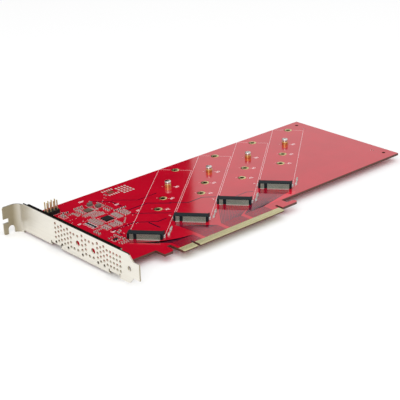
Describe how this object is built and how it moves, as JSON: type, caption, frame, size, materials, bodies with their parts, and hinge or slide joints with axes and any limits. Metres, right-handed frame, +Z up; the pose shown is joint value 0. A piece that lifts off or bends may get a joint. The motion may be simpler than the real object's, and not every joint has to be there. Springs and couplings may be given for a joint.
{
  "type": "nvme adapter card",
  "caption": "Full-length red adapter card with slanted sites for M.2 modules, a gold edge connector, a pin header and a perforated full-height slot bracket.",
  "frame": {"origin": "on the bracket's outer face, level with the tips of the edge contacts and with the board's component side", "axes": "+X along the card away from the bracket, +Y from the edge contacts to the board's top edge, +Z up from the component side"},
  "size_m": [0.2664, 0.1236, 0.02],
  "materials": {
    "solder_mask": "glossy red solder mask over a glass-epoxy laminate",
    "gold_plate": "thin gold plate, polished",
    "tinned_metal": "matt tin plate",
    "nickel_steel": "bright nickel plate",
    "bracket_steel": "nickel-plated sheet, finely rolled",
    "connector_resin": "matt black moulded resin",
    "black_nylon": "satin black moulded nylon",
    "chip_resin": "matt black mould compound",
    "olive_resin": "matt olive-grey mould compound",
    "capacitor_ceramic": "unglazed tan ceramic",
    "resistor_glaze": "black glass glaze",
    "ferrite": "dull grey pressed ferrite"
  },
  "bodies": {
    "root": {"bare_pads": "tinned_metal", "bracket_screws": "nickel_steel", "capacitor_bodies": "capacitor_ceramic", "capacitor_ends": "tinned_metal", "chip_pads": "tinned_metal", "chokes": "ferrite", "circuit_board": "solder_mask", "clock_chip": "chip_resin", "connector_anchors": "tinned_metal", "connector_terminals_1": "tinned_metal", "connector_terminals_2": "tinned_metal", "connector_terminals_3": "tinned_metal", "connector_terminals_4": "tinned_metal", "edge_contacts_bottom": "gold_plate", "edge_contacts_top": "gold_plate", "header_body": "black_nylon", "header_pins": "gold_plate", "module_connector_1": "connector_resin", "module_connector_2": "connector_resin", "module_connector_3": "connector_resin", "module_connector_4": "connector_resin", "module_screws": "nickel_steel", "plated_rings": "gold_plate", "power_chip": "olive_resin", "resistor_bodies": "resistor_glaze", "resistor_ends": "tinned_metal", "slot_bracket": "bracket_steel", "standoff_nuts": "gold_plate", "standoffs": "gold_plate", "transistor_body": "chip_resin", "transistor_legs": "tinned_metal"}
  },
  "joints": []
}
